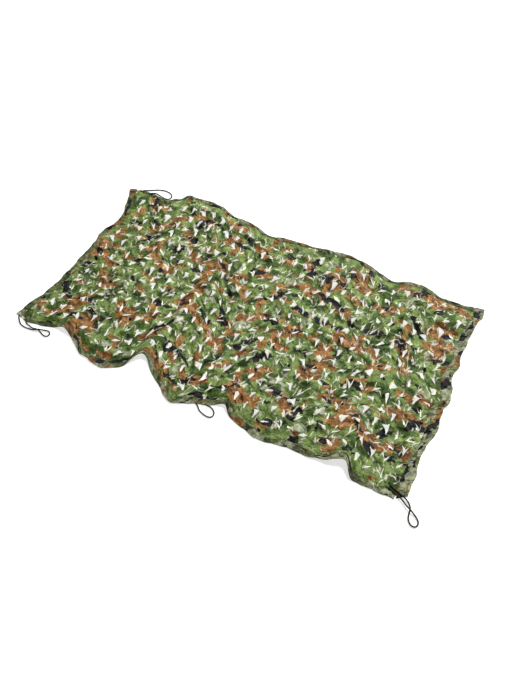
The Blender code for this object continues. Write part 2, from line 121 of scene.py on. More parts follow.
def sidePoint(share, table):
    # the point at a share of the way along one side
    place = table[0, 0] + share * (table[-1, 0] - table[0, 0])
    return place, easedCurve(place, table)


def floorPlan(s, t):
    # rectangle blended between its four sides: sum of the two pairs less the corners' blend
    u, v = s / netLength, t / netWidth
    frontX, frontY = sidePoint(u, frontEdge)
    backX, backY = sidePoint(u, backEdge)
    leftY, leftX = sidePoint(v, leftEdge)
    rightY, rightX = sidePoint(v, rightEdge)
    x = (1 - v) * frontX + v * backX + (1 - u) * leftX + u * rightX
    y = (1 - v) * frontY + v * backY + (1 - u) * leftY + u * rightY
    shares = ((1 - u) * (1 - v), u * (1 - v), (1 - u) * v, u * v)
    for share, corner in zip(shares, (frontEdge[0], frontEdge[-1], backEdge[0], backEdge[-1])):
        x = x - share * corner[0]
        y = y - share * corner[1]
    return x, y


def foldHeight(x, y):
    # low waves over a threshold, plus each fold's height x squared cosine of the distance from it
    first, second = layout["rollingRates"]
    waves = wave(x, y, first) * wave(x, y, second)
    height = layout["rolling"] * np.maximum(waves - layout["rollingFlat"], 0.0)
    for x0, y0, h0, x1, y1, h1, halfWidth in foldTable:
        runX, runY = x1 - x0, y1 - y0
        share = np.clip(((x - x0) * runX + (y - y0) * runY) / (runX ** 2 + runY ** 2), 0, 1)
        away = np.hypot(x - x0 - share * runX, y - y0 - share * runY)
        bump = np.cos(0.5 * math.pi * np.minimum(away / halfWidth, 1.0)) ** 2
        height = height + (h0 + share * (h1 - h0)) * bump
    return height


def latticeLines(size, count):
    # lines of the half cells between the border's inner lines
    return layout["border"] + np.arange(2 * count + 1) * (size - 2 * layout["border"]) / (2 * count)


def outlineCentre():
    # middle of the outline's box at the lattice lines and the corners
    s = np.concatenate(([0.0], latticeLines(netLength, layout["columns"]), [netLength]))
    t = np.concatenate(([0.0], latticeLines(netWidth, layout["rows"]), [netWidth]))
    sides = [floorPlan(s, 0 * s), floorPlan(s, 0 * s + netWidth)]
    sides += [floorPlan(0 * t, t), floorPlan(0 * t + netLength, t)]
    points = np.concatenate(sides, 1)
    return (points.min(1) + points.max(1)) / 2


centreX, centreY = outlineCentre()


def borderLines(value, size):
    # the border's inner line, its outer line, and the share of the way between them
    border = layout["border"]
    inner = np.clip(value, border, size - border)
    outer = np.where(value < border, 0.0, np.where(value > size - border, size, value))
    return inner, outer, np.abs(value - inner) / border


def laidOut(s, t, lift=0.0):
    # floor plan and fold height, with each border straight and level across its width
    s, t = np.broadcast_arrays(np.asarray(s, float), np.asarray(t, float))
    innerS, outerS, shareS = borderLines(s, netLength)
    innerT, outerT, shareT = borderLines(t, netWidth)
    x, y = -centreX, -centreY
    for lineS, weightS in ((innerS, 1 - shareS), (outerS, shareS)):
        for lineT, weightT in ((innerT, 1 - shareT), (outerT, shareT)):
            planX, planY = floorPlan(lineS, lineT)
            x = x + weightS * weightT * planX
            y = y + weightS * weightT * planY
    return np.stack((x, y, foldHeight(*floorPlan(innerS, innerT)) + lift), -1)


def insets(s, t):
    # distance from each edge of the flat cut
    return {"edge_left": s, "edge_right": netLength - s, "edge_front": t, "edge_back": netWidth - t}


def newObject(name, data):
    obj = bpy.data.objects.new(name, data)
    bpy.context.scene.collection.objects.link(obj)
    return obj


def newPiece(name, points, faces, materials):
    # one mesh from an array of points and an array of quads
    mesh = bpy.data.meshes.new(name)
    mesh.from_pydata(points.reshape(-1, 3).tolist(), [], faces.tolist())
    mesh.validate()
    mesh.polygons.foreach_set("use_smooth", np.ones(len(mesh.polygons), bool))
    for one in materials:
        mesh.materials.append(one)
    return newObject(name, mesh)


def addAttribute(obj, name, values):
    # a value or a vector on each point
    kind, key = ("FLOAT", "value") if values.ndim == 1 else ("FLOAT_VECTOR", "vector")
    layer = obj.data.attributes.new(name, kind, "POINT")
    layer.data.foreach_set(key, values.astype(np.float32).ravel())


def thicken(obj, thickness, offset):
    # a wall whose far side and rim have the second and third materials
    wall = obj.modifiers.new("wall", "SOLIDIFY")
    wall.thickness = thickness
    wall.offset = offset
    wall.use_even_offset = False
    wall.material_offset = 1
    wall.material_offset_rim = 2
    bpy.context.view_layer.update()
    evaluated = obj.evaluated_get(bpy.context.evaluated_depsgraph_get())
    mesh = bpy.data.meshes.new_from_object(evaluated)
    obj.modifiers.clear()
    obj.data = mesh


def linearColour(colour):
    # 0 to 255 as seen on a screen, to linear light
    share = np.array(colour) / 255.0
    return (*np.where(share <= 0.04045, share / 12.92, ((share + 0.055) / 1.055) ** 2.4), 1.0)


class nodeMaker:
    # short calls for the nodes of one material, or of the world
    def __init__(self, owner):
        owner.use_nodes = True
        self.owner = owner
        self.tree = owner.node_tree
        self.shader = next(one for one in self.tree.nodes if one.outputs)

    def join(self, socket, value):
        # a link from another node's socket, or a fixed value
        if isinstance(value, bpy.types.NodeSocket):
            self.tree.links.new(value, socket)
        else:
            socket.default_value = value

    def node(self, kind, inputs=None, **settings):
        made = self.tree.nodes.new(kind)
        for key, value in settings.items():
            setattr(made, key, value)
        for key, value in (inputs or {}).items():
            self.join(made.inputs[key], value)
        return made

    def set(self, name, value):
        self.join(self.shader.inputs[name], value)

    def attribute(self, name, output="Vector"):
        return self.node("ShaderNodeAttribute", attribute_name=name).outputs[output]

    def math(self, operation, first, second=0.0):
        return self.node("ShaderNodeMath", {0: first, 1: second}, operation=operation).outputs[0]

    def vector(self, operation, inputs, output="Vector"):
        return self.node("ShaderNodeVectorMath", inputs, operation=operation).outputs[output]

    def noise(self, place, scale, detail=2.0, roughness=0.5, output="Fac"):
        values = {"Vector": place, "Scale": scale, "Detail": detail, "Roughness": roughness}
        return self.node("ShaderNodeTexNoise", values).outputs[output]

    def warp(self, place, by, amount):
        # place + amount x (noise colour - 0.5)
        moved = self.vector("SUBTRACT", {0: by, 1: (0.5, 0.5, 0.5)})
        moved = self.vector("SCALE", {0: moved, "Scale": amount})
        return self.vector("ADD", {0: moved, 1: place})

    def shift(self, place, offset, stretch=(1.0, 1.0, 1.0)):
        values = {"Vector": place, "Location": offset, "Scale": stretch}
        return self.node("ShaderNodeMapping", values).outputs[0]

    def ramp(self, value, low, high, first=0.0, second=1.0, kind="SMOOTHSTEP"):
        # from first to second as the value goes from low to high
        values = {"Value": value, "From Min": low, "From Max": high, "To Min": first, "To Max": second}
        return self.node("ShaderNodeMapRange", values, interpolation_type=kind).outputs["Result"]

    def bump(self, height, distance, strength=1.0, **under):
        values = {"Height": height, "Distance": distance, "Strength": strength, **under}
        return self.node("ShaderNodeBump", values).outputs[0]

    def blend(self, share, first, second, kind="MIX"):
        made = self.node("ShaderNodeMix", data_type="RGBA", blend_type=kind)
        for key, value in (("Factor_Float", share), ("A_Color", first), ("B_Color", second)):
            self.join(next(one for one in made.inputs if one.identifier == key), value)
        return next(one for one in made.outputs if one.identifier == "Result_Color")


# The print, its colours as seen on a screen, how crumpled the cloth is, and the light and shade painted into
# its colour
printValues = {
    "leafGreen": (126, 149, 79),
    "deepGreen": (72, 97, 39),
    "sage": (172, 180, 146),
    "rust": (170, 122, 67),
    "darkRust": (132, 88, 43),
    "ink": (22, 22, 24),
    "reverse": (232, 230, 206),
    "rim": (250, 248, 226),
    "patch": 11.0,  # patches for each metre
    "mottle": 2.3,  # patches of the two rusts for each of the others
    "warp": 0.026,  # how far the patches' edges are pulled about
    "deepGreenFrom": 0.48,  # noise above these is that colour, so a lower value makes more of it
    "sageFrom": 0.624,
    "rustFrom": 0.536,
    "inkFrom": 0.594,
    "crumple": 0.0090,  # height of the crumples
    "sparkle": 0.0044,  # height of the finer creases
    "creaseWidth": 0.035,  # width of the painted crease lines, in the noise's own range, some 2 mm
    "paintedCreaseHighlight": 0.75,  # how far the painted highlights along creases cover the print, and the painted shadows in them
    "paintedCreaseShadow": 0.45,
    "reverseShare": 0.70,  # how far the pale reverse hides the print, and the cut edge; the reverse's pale cream is partly its own unprinted colour and partly painted light, for light shining through the thin cloth
    "rimShare": 0.5,
    "shadeLow": 0.50,  # darkest and brightest the shading painted into the cloth's colour makes it
    "shadeHigh": 1.35,
    "roughness": 0.50,
    "shine": 0.22,
}

# Its layers, each over the last; columns: colour, shift and stretch of its noise, patches, soft edge
printLayers = [
    ("deepGreen", (3.1, 7.7, 0.0), (1.0, 1.0, 1.0), 1.2, 0.08),
    ("sage", (11.3, 2.9, 0.0), (1.0, 1.3, 1.0), 0.95, 0.02),
    ("rust", (5.9, 17.1, 0.0), (0.8, 1.2, 1.0), 1.0, 0.014),
    ("ink", (23.7, 9.4, 0.0), (0.9, 1.5, 1.0), 1.1, 0.012),
]

# The cloth's relief and the light and shade painted on it, the same in every print; scales are for each metre
relief = {
    "patchWarpScale": 28.0, "facetScale": 44.0, "facetWarpScale": 30.0, "softScale": 48.0,
    "creaseScale": 125.0, "pleatScale": 88.0, "weaveScale": 420.0, "lineScale": 20.0,
    "lineGapScale": 31.0, "wornScale": 42.0, "shadeScale": 36.0,
    "facetWarp": 0.03, "facetHeight": 0.6, "pleatDepth": 1.6, "weaveDepth": 0.00008,
    "weaveStrength": 0.4, "wornShare": 1.5, "facetShadeShare": 0.25,
}


def printColour(make, place, values):
    # each layer: warped noise over its threshold; the rust layer has two tones
    by = make.noise(place, relief["patchWarpScale"], 3.0, 0.6, "Color")
    place = make.warp(place, by, values["warp"])
    rustToneAndFacetShade = make.ramp(make.noise(place, values["patch"] * values["mottle"]), 0.46, 0.60)
    colour = linearColour(values["leafGreen"])
    for name, offset, stretch, patches, edge in printLayers:
        level = make.noise(make.shift(place, offset, stretch), values["patch"] * patches)
        tint = linearColour(values[name])
        if name == "rust":
            tint = make.blend(rustToneAndFacetShade, tint, linearColour(values["darkRust"]))
        low = values[name + "From"]
        colour = make.blend(make.ramp(level, low, low + edge), colour, tint)
    return colour


def crumpledFacets(make, place):
    # height: 0.6 x distance to the nearest of scattered points, warped, plus a soft noise
    # painted shade: one random brightness for each point's facet, for how each crumpled facet faces the light
    by = make.noise(make.shift(place, (1.7, 4.1, 0.0)), relief["facetWarpScale"], output="Color")
    inputs = {"Vector": make.warp(place, by, relief["facetWarp"]), "Scale": relief["facetScale"]}
    facets = make.node("ShaderNodeTexVoronoi", inputs)
    height = make.math("MULTIPLY", facets.outputs["Distance"], relief["facetHeight"])
    height = make.math("ADD", height, make.noise(place, relief["softScale"]))
    return height, make.node("ShaderNodeSeparateColor", {0: facets.outputs["Color"]}).outputs[0]


def clothBump(make, place, crumples, values):
    # crumples some 20 mm apart, creases some millimetres apart, and a fine plain weave
    # creases: noise - 1.6 x distance of the pleats' noise from its middle
    pleats = make.noise(make.shift(place, (9.0, 2.0, 0.0), (1.0, 0.28, 1.0)), relief["pleatScale"])
    pleats = make.math("ABSOLUTE", make.math("SUBTRACT", pleats, 0.5))
    pleats = make.math("MULTIPLY", pleats, relief["pleatDepth"])
    creases = make.math("SUBTRACT", make.noise(place, relief["creaseScale"]), pleats)
    weave = make.node("ShaderNodeTexWave", {"Vector": place, "Scale": relief["weaveScale"]}).outputs["Fac"]
    normal = make.bump(crumples, values["crumple"])
    normal = make.bump(creases, values["sparkle"], Normal=normal)
    return make.bump(weave, relief["weaveDepth"], relief["weaveStrength"], Normal=normal)


def paintedCreaseLightAndShade(make, place, colour, values):
    # painted light and shade: thin lines where a noise passes its middle, pale painted highlights along
    # creases in some places and dark painted shadows in creases in others
    pale, dark = ((4.0, 31.0, 0.0), "rim", "paintedCreaseHighlight"), ((19.0, 5.0, 0.0), "ink", "paintedCreaseShadow")
    for offset, tint, share in (pale, dark):
        moved = make.shift(place, offset, (1.0, 0.7, 1.0))
        level = make.noise(moved, relief["lineScale"], 1.0)
        away = make.math("ABSOLUTE", make.math("SUBTRACT", level, 0.5))
        where = make.ramp(make.noise(moved, relief["lineGapScale"], 1.0), 0.50, 0.58)
        line = make.math("MULTIPLY", make.ramp(away, values["creaseWidth"], 0.0), where)
        line = make.math("MULTIPLY", line, values[share])
        colour = make.blend(line, colour, linearColour(values[tint]))
    return colour


def clothMaterials(name, values):
    # the printed face, its paler reverse with the print showing through, its paleness partly painted light
    # passing through the thin cloth, and the cut edge
    # painted shading: a noise and the facets' painted shades, spread from the darkest to the brightest
    made = []
    for side in ("face", "reverse", "rim"):
        make = nodeMaker(bpy.data.materials.new(name + "_" + side))
        place = make.attribute("flatCut")
        colour = printColour(make, place, values)
        if side == "face":
            worn = make.math("SUBTRACT", make.noise(place, relief["wornScale"]), 0.5)
            worn = make.math("MULTIPLY", worn, relief["wornShare"])
            rim = make.ramp(make.math("ADD", make.attribute("cutEdge", "Fac"), worn), 0.72, 0.90)
            colour = make.blend(rim, colour, linearColour(values["rim"]))
            # painted highlights and shadows along creases, over the print
            colour = paintedCreaseLightAndShade(make, place, colour, values)
        else:
            # the pale reverse colour: partly the cloth's own unprinted back, partly painted light shining
            # through it
            colour = make.blend(values[side + "Share"], colour, linearColour(values["reverse"]))
        crumples, rustToneAndFacetShade = crumpledFacets(make, place)
        # painted shade: the crumples' light and shade multiplied into the colour
        shade = make.math("MULTIPLY", make.noise(place, relief["shadeScale"]), 1 - relief["facetShadeShare"])
        shade = make.math("ADD", shade, make.math("MULTIPLY", rustToneAndFacetShade, relief["facetShadeShare"]))
        shade = make.ramp(shade, 0.28, 0.72, values["shadeLow"], values["shadeHigh"], "LINEAR")
        shade = make.node("ShaderNodeCombineColor", {0: shade, 1: shade, 2: shade}).outputs[0]
        make.set("Base Color", make.blend(1.0, colour, shade, "MULTIPLY"))
        make.set("Roughness", values["roughness"])
        make.set("Specular IOR Level", values["shine"])
        make.set("Normal", clothBump(make, place, crumples, values))
        made.append(make.owner)
    return made


# The leaf-cut panel; pairs are the least and the most
panelValues = {
    "seed": 41,
    "leafLength": 0.041,
    "leafWidth": 0.030,
    "smallLeaf": 0.90,  # size of the cuts in the odd cells
    "sizes": (0.88, 1.10),
    "breadths": (0.85, 1.12),
    "hingeAt": 0.45,  # share of a leaf's length from its hinge to its middle
    "sideSteps": 5,  # steps along a cell's side
    "leafSteps": 8,  # steps along a leaf from its hinge to its tip
    "hingeSteps": 4,
    "ring": 0.45,  # share of the way from hole to cell where a ring of points lies
    "spread": 0.05,  # how far the hole opens wider than its tongue
    "smallSpread": 0.3,  # share of it in the odd cells
    "lengthSpread": 0.35,  # share of it along the leaf
    "standing": (0.46, 0.12),  # share of the tongues that stand in the even cells, and in the odd ones
    "slope": (0.62, 1.22),  # of a standing tongue, and of a lying one
    "lyingSlope": (0.04, 0.46),
    "bend": (0.3, 1.5),
    "lyingBend": (0.0, 0.7),
    "startSlope": (0.02, 1.3),
    "twist": 0.45,
    "gutter": (-0.1, 0.5),
    "puff": 0.0036,
    "buckle": 0.0042,
    "lip": 0.010,  # most that a hole's lip curls up
    "lips": (0.1, 1.0),
    "smallLip": 0.7,
    "turnedLip": 1.0,  # how much wider the pale rim is there
    "rims": (0.6, 1.4),
    "lowest": 0.0015,
    "tallest": 0.0440,  # above this the cloth is pressed down
    "pressed": 0.006,  # most that it rises past it
    "thickness": 0.0006,
    "height": 0.0011,  # of the face over the solid's underside
}

# Each strip's upper layer: its width, the noise above which it is sage, and how bright its painted shading
# is, a painted shade that makes the front and back strips darker than the left and right
upperLayers = {
    "edge_front": (0.027, 0.53, 0.86),
    "edge_back": (0.019, 0.49, 0.84),
    "edge_left": (0.026, 0.54, 1.04),
    "edge_right": (0.042, 0.43, 1.04),
}


def leafSides(p):
    # a claw: one side -0.5 + 0.26 p^1.2, the other, hollow, -0.24 + 0.74 (1 - p)^1.7
    first = -0.5 + 0.26 * p ** 1.2
    second = -0.24 + 0.74 * (1 - p) ** 1.7
    return (first + second) / 2, (second - first) / 2


def leafOutline():
    # points of the cut, anticlockwise from the hinge's left end, in shares of width and length
    steps, hinge, hingeAt = (panelValues[key] for key in ("leafSteps", "hingeSteps", "hingeAt"))
    p = np.arange(1, steps) / steps
    middle, half = leafSides(p)
    base = np.stack((np.linspace(-0.5, 0.5, hinge + 1), np.full(hinge + 1, -hingeAt)), -1)
    right = np.stack((middle + half, p - hingeAt), -1)
    left = np.stack((middle - half, p - hingeAt), -1)[::-1]
    tip = np.array([(-0.24, 1 - hingeAt)])
    return np.concatenate((base, right, tip, left))


def cellGrid():
    # corners of each cell in the flat cut, the inner ones wandering, and each cell's numbers
    columns, rows = layout["columns"], layout["rows"]
    a, b = np.meshgrid(2 * np.arange(columns + 1), 2 * np.arange(rows + 1), indexing="ij")
    s = latticeLines(netLength, columns)[a]
    t = latticeLines(netWidth, rows)[b]
    inside = (a > 0) & (a < 2 * columns) & (b > 0) & (b < 2 * rows)
    first, second = layout["wanderRates"]
    s = s + layout["wander"] * wave(a, b, first) * inside
    t = t + layout["wander"] * wave(a, b, second) * inside
    corner = np.stack((s, t), -1)
    cells = np.stack((corner[:-1, :-1], corner[1:, :-1], corner[1:, 1:], corner[:-1, 1:]), 2)
    i, j = np.meshgrid(np.arange(columns), np.arange(rows), indexing="ij")
    return cells.reshape(-1, 4, 2), i.ravel(), j.ravel()


def leafTurn(i, j):
    # heading, plus or minus the splay in turn, plus swing x sine
    side = np.where((i // 2 + j) % 2 == 1, 1, -1)
    return layout["heading"] + side * layout["splay"] + layout["swing"] * wave(i, j, layout["swingRates"])


def turned(local, turn, middle):
    # local points (n, m, 2) turned by each cell's angle and moved to its middle
    cosine, sine = np.cos(turn)[:, None], np.sin(turn)[:, None]
    x, y = local[..., 0], local[..., 1]
    return np.stack((x * cosine - y * sine, x * sine + y * cosine), -1) + middle[:, None, :]


def seededWaves(s, t, seed, longest, shortest, count):
    # sum of sines in random directions, lengths spaced evenly by ratio, over the root of half the count
    source = np.random.default_rng(seed)
    total = np.zeros_like(s)
    for length in np.geomspace(longest, shortest, count):
        heading = source.uniform(0, 2 * math.pi)
        rate = 2 * math.pi / length
        along = s * math.cos(heading) + t * math.sin(heading)
        total += np.sin(rate * along + source.uniform(0, 6.3))
    return total / math.sqrt(count / 2)


def smallWaves(s, t):
    # puffs 80 to 260 mm long and buckles 36 to 75 mm long, cut off below, fading towards the hems
    values = panelValues
    puffs = seededWaves(s, t, values["seed"], 0.26, 0.08, 9)
    buckles = seededWaves(s, t, values["seed"] + 1, 0.075, 0.036, 12)
    clear = np.minimum.reduce([inset - upperLayers[name][0] for name, inset in insets(s, t).items()])
    inside = np.clip((clear - 0.004) / 0.03, 0, 1)
    puffs = values["puff"] * np.maximum(puffs + 0.5, 0.0)
    return (puffs + values["buckle"] * np.maximum(buckles + 0.9, 0.0)) * inside


def panelSurface(s, t):
    # the laid-out sheet: on the binding's lower layer at the edge, on the floor inside
    pitch = (netLength - 2 * layout["border"]) / layout["columns"]
    inset = np.minimum.reduce(list(insets(s, t).values()))
    share = np.clip((layout["border"] + pitch - inset) / pitch, 0, 1)
    lift = (layout["tape"] + layout["slotGap"]) * share + panelValues["height"]
    return laidOut(s, t, lift + smallWaves(s, t))


def borderGrids():
    # flat points of the four strips between the cells and the raw edge, as grids
    border, steps = layout["border"], panelValues["sideSteps"]
    s = np.linspace(border, netLength - border, layout["columns"] * steps + 1)
    t = np.linspace(border, netWidth - border, layout["rows"] * steps + 1)
    inset = np.linspace(layout["rawEdge"], border, 4)
    s = np.concatenate((inset[:-1], s, netLength - inset[:-1][::-1]))
    sides = [(s, inset), (s, netWidth - inset[::-1]), (inset, t), (netLength - inset[::-1], t)]
    return [np.stack(np.meshgrid(*side, indexing="ij"), -1) for side in sides]


def unit(vectors):
    # each over its length
    return vectors / np.linalg.norm(vectors, axis=-1, keepdims=True)


def allRows(parts):
    # one list of points from grids of points
    return np.concatenate([part.reshape(-1, part.shape[-1]) for part in parts])


def gridQuads(index, closed=False):
    # quads between neighbours of an index grid (..., rows, columns), its rows closed into rings
    if closed:
        index = np.concatenate((index, index[..., :1]), -1)
    first, second = index[..., :-1, :-1], index[..., 1:, :-1]
    third, fourth = index[..., 1:, 1:], index[..., :-1, 1:]
    return np.stack((first, second, third, fourth), -1).reshape(-1, 4)


def tonguePoints(hinge, local, curl, base):
    # each row of the tongue: hinge + arc of the curl along it; across it a gutter and a twist
    # the arc is the running sum of (cos, sin) of the bend angle times the step
    rows = local.shape[1]
    across = unit(hinge[:, -1:] - hinge[:, :1])
    ahead = unit(np.cross((0.0, 0.0, 1.0), across))
    up = np.cross(across, ahead)
    p = (np.arange(rows) + 0.5)[None, :] / rows
    angle = curl["start"][:, None] + curl["bend"][:, None] * p ** 1.2
    step = np.diff(local[:, :, 0, 1], axis=1, prepend=base[:, None])
    reach = np.cumsum(np.cos(angle) * step, 1)[:, :, None, None]
    rise = np.cumsum(np.sin(angle) * step, 1)[:, :, None, None]
    x = local[..., 0][..., None]
    share = ((np.arange(rows) + 1) / rows)[None, :, None, None]
    twist = curl["twist"][:, None, None, None] * share
    half = np.maximum(np.abs(local[..., 0]).max(-1), 1e-4)[..., None, None]
    gutter = curl["gutter"][:, None, None, None] * share * (x / half) ** 2 * half
    normalUp = np.cos(angle)[..., None, None]
    normalAhead = -np.sin(angle)[..., None, None]
    side = x * np.sin(twist) + gutter
    middle = hinge[:, None, [hinge.shape[1] // 2]]
    across, ahead, up = (one[:, None] for one in (across, ahead, up))
    middle = middle + across * x * np.cos(twist) + ahead * (reach + normalAhead * side)
    return middle + up * (rise + normalUp * side)


def readAll(items, name, kind=np.int32, width=1):
    # one property of every item as an array
    found = np.empty(width * len(items), kind)
    items.foreach_get(name, found)
    return found


def bakeMap(obj):
    # map for the bake: the flat cut's face below, its reverse above it, the cut edge's quads on top
    # a quad of the cut edge has its own small square: (column + margin + its corner) / squares in a row
    faceStart, reverseStart, edgeStart = 0.002, 0.475, 0.945
    sideHeight, edgeHeight, margin = 0.465, 0.05, 0.15
    mesh = obj.data
    slot = readAll(mesh.polygons, "material_index")
    corners = readAll(mesh.polygons, "loop_total")
    place = readAll(mesh.attributes["flatCut"].data, "vector", np.float32, 3).reshape(-1, 3)
    place = place[readAll(mesh.loops, "vertex_index"), :2]
    uv = place * (1 / netLength, sideHeight / netWidth)
    uv[:, 1] += np.repeat(np.where(slot == 1, reverseStart, faceStart), corners)
    onRim = np.repeat(slot == 2, corners)
    quad = np.arange(onRim.sum()) // 4
    inRow = int(np.ceil(math.sqrt((quad[-1] + 1) / edgeHeight)))
    corner = np.tile([(0, 0), (1, 0), (1, 1), (0, 1)], (quad[-1] + 1, 1))
    square = np.stack((quad % inRow, quad // inRow), -1) + margin
    uv[onRim] = (square + (1 - 2 * margin) * corner) / inRow + (0.0, edgeStart)
    layer = mesh.uv_layers.new(name="OFBake")
    layer.uv.foreach_set("vector", uv.astype(np.float32).ravel())


def panelMesh():
    # cells with a hole and its tongue in each, and the border round them
    values = panelValues
    source = np.random.default_rng(values["seed"])
    cells, i, j = cellGrid()
    count = len(cells)
    wide = (i + j) % 2 == 0
    size = np.where(wide, 1.0, values["smallLeaf"]) * source.uniform(*values["sizes"], count)
    broad = source.uniform(*values["breadths"], count)
    sizes = np.stack((size * broad * values["leafWidth"], size * values["leafLength"]), -1)[:, None, :]
    turn = leafTurn(i, j)
    middle = cells.mean(1)

    # outer loop: even steps along each side of the cell
    share = (np.arange(values["sideSteps"]) / values["sideSteps"])[None, None, :, None]
    outer = cells[:, :, None] + share * (np.roll(cells, -1, 1) - cells)[:, :, None]
    outer = outer.reshape(count, -1, 2)
    around = outer.shape[1]

    # inner loop: the leaf cut, and the hole it leaves, pulled a little wider
    cut = leafOutline()[None] * sizes
    onHinge = np.arange(around) <= values["hingeSteps"]
    opening = np.where(onHinge, 0.0, values["spread"])
    opening = opening * np.where(wide, 1.0, values["smallSpread"])[:, None]
    hole = cut * np.stack((1 + opening, 1 + values["lengthSpread"] * opening), -1)
    inner = turned(cut, turn, middle)
    holeFlat = turned(hole, turn, middle)

    # each inner point meets the outer point that lies best beside it
    rolls = (np.arange(around)[:, None] + np.arange(around)[None]) % around
    gaps = ((holeFlat[:, None] - outer[:, rolls]) ** 2).sum((-1, -2))
    rolls = rolls[gaps.argmin(1)]
    outer = np.take_along_axis(outer, rolls[..., None], 1)
    between = holeFlat + values["ring"] * (outer - holeFlat)

    # lips: one side of each hole curls up
    bearing = np.arctan2(hole[..., 1], hole[..., 0])
    lipSide = source.uniform(0, 2 * math.pi, count)[:, None]
    lipHeight = values["lip"] * source.uniform(*values["lips"], count)[:, None]
    lipHeight = lipHeight * np.where(wide, 1.0, values["smallLip"])[:, None]
    lift = lipHeight * (0.5 + 0.5 * np.cos(bearing - lipSide)) ** 2
    innerPoints = panelSurface(holeFlat[..., 0], holeFlat[..., 1])
    innerPoints[..., 2] += lift
    betweenPoints = panelSurface(between[..., 0], between[..., 1])
    betweenPoints[..., 2] += 0.5 * lift

    # tongues
    steps, hinge = values["leafSteps"], values["hingeSteps"]
    p = np.arange(1, steps + 1)[:, None] / steps
    leafMiddle, leafHalf = leafSides(p)
    across = np.linspace(-1, 1, hinge + 1)[None, :]
    local = np.stack((leafMiddle + leafHalf * across, p - values["hingeAt"] + 0 * across), -1)
    local = local[None] * sizes[:, None]
    tongueFlat = turned(local.reshape(count, -1, 2), turn, middle).reshape(local.shape)
    loose = source.uniform(0, 1, count)
    standing = source.uniform(0, 1, count) < np.where(wide, *values["standing"])
    raised = np.interp(loose, (0, 1), values["slope"])
    raised = np.where(standing, raised, np.interp(loose ** 1.4, (0, 1), values["lyingSlope"]))
    bend = source.uniform(*values["bend"], count)
    bend = np.where(standing, bend, source.uniform(*values["lyingBend"], count))
    curl = {
        "start": (raised - 0.35 * bend).clip(*values["startSlope"]),
        "bend": bend,
        "twist": source.normal(0, values["twist"], count),
        "gutter": source.uniform(*values["gutter"], count),
    }
    tongue = tonguePoints(innerPoints[:, :hinge + 1], local, curl, -values["hingeAt"] * sizes[:, 0, 1])
    tongue[..., 2] = np.maximum(tongue[..., 2], values["lowest"])

    # one index for each place that cells and border strips share
    grids = [outer] + borderGrids()
    flat, index = np.unique(np.round(allRows(grids), 6), axis=0, return_inverse=True)
    index = np.split(index.reshape(-1), np.cumsum([grid.size // 2 for grid in grids])[:-1])
    index = [part.reshape(grid.shape[:2]) for part, grid in zip(index, grids)]
    faces = [gridQuads(part) for part in index[1:]]
    betweenIndex = len(flat) + np.arange(count * around).reshape(count, around)
    innerIndex = betweenIndex + count * around
    tongueIndex = np.arange(count * steps * (hinge + 1)).reshape(count, steps, -1) + innerIndex.max() + 1
    ring = np.stack((innerIndex, betweenIndex, index[0]), 1)
    faces.append(gridQuads(ring, closed=True))
    sheet = np.concatenate((innerIndex[:, None, :hinge + 1], tongueIndex), 1)
    faces.append(gridQuads(sheet)[:, ::-1])

    points = allRows((panelSurface(*flat.T), betweenPoints, innerPoints, tongue))
    # pressed down: most x (1 - e to the power of -extra / most) in place of the extra height
    most = values["pressed"]
    extra = np.maximum(points[:, 2] - values["tallest"], 0.0)
    points[:, 2] += most * (1 - np.exp(-extra / most)) - extra
    onSide = np.maximum(np.abs(across) == 1, p == 1)[None]
    edge = np.concatenate((
        np.zeros(len(flat) + count * around),
        np.where(onHinge, 0.0, 1.0 + values["turnedLip"] * lift / values["lip"]).ravel(),
        (onSide * source.uniform(*values["rims"], (count, 1, 1))).ravel(),
    ))
    place = allRows((flat, between, inner, tongueFlat))
    place = np.column_stack((place, np.zeros(len(place))))
    material = clothMaterials("net_print", printValues)
    obj = newPiece("net_cloth", points, np.concatenate(faces), material)
    addAttribute(obj, "flatCut", place)
    addAttribute(obj, "cutEdge", edge)
    thicken(obj, values["thickness"], -1.0)
    bakeMap(obj)
    print("panel:", count, "leaf cuts,", len(obj.data.polygons), "faces")
    return obj


netCloth = panelMesh()
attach(netCloth, "root")
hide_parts("net_panel")

# The folded strips along the four sides
bindingValues = {
    "width": 0.045,
    "thickness": 0.0006,
    "step": 0.003,  # along the strip
    "top": 0.0039,  # height of the upper layer
    "gather": 0.0042,  # height of the gathers across the strip
    "gatherLengths": (0.075, 0.014, 11),  # longest, shortest and how many
    "sewn": 0.85,  # how much the seam flattens them
    "edgeWobble": 0.0034,
    "wobbles": ((0.23, 1.3), (0.11, 1.1), (0.061, 0.6), (0.031, 0.2)),  # their lengths and shares
    "shades": (0.8, 1.1),  # of the panel's darkest and brightest painted shading
}
bindingPrint = dict(
    printValues, sage=(150, 156, 122), leafGreen=(112, 120, 76), deepGreen=(74, 82, 46),
    rust=(134, 102, 58), rustFrom=0.585, inkFrom=0.590, patch=14.0, crumple=0.012, sparkle=0.004,
    # no painted crease highlights on the strips
    paintedCreaseHighlight=0.0
)
endGap = 0.0465  # where the front and back strips stop

# Each strip: the solid it stands for, its ends, and where (along, inset) is in the flat cut
strips = {
    "edge_front": ("binding_front", endGap, netLength - endGap, lambda along, inset: (along, inset)),
    "edge_back": ("binding_back", endGap, netLength - endGap, lambda along, inset: (along, netWidth - inset)),
    "edge_left": ("binding_left", 0.0, netWidth, lambda along, inset: (inset, along)),
    "edge_right": ("binding_right", 0.0, netWidth, lambda along, inset: (netLength - inset, along)),
}
mirrored = ("edge_back", "edge_left")  # sides whose (along, inset) runs the other way round


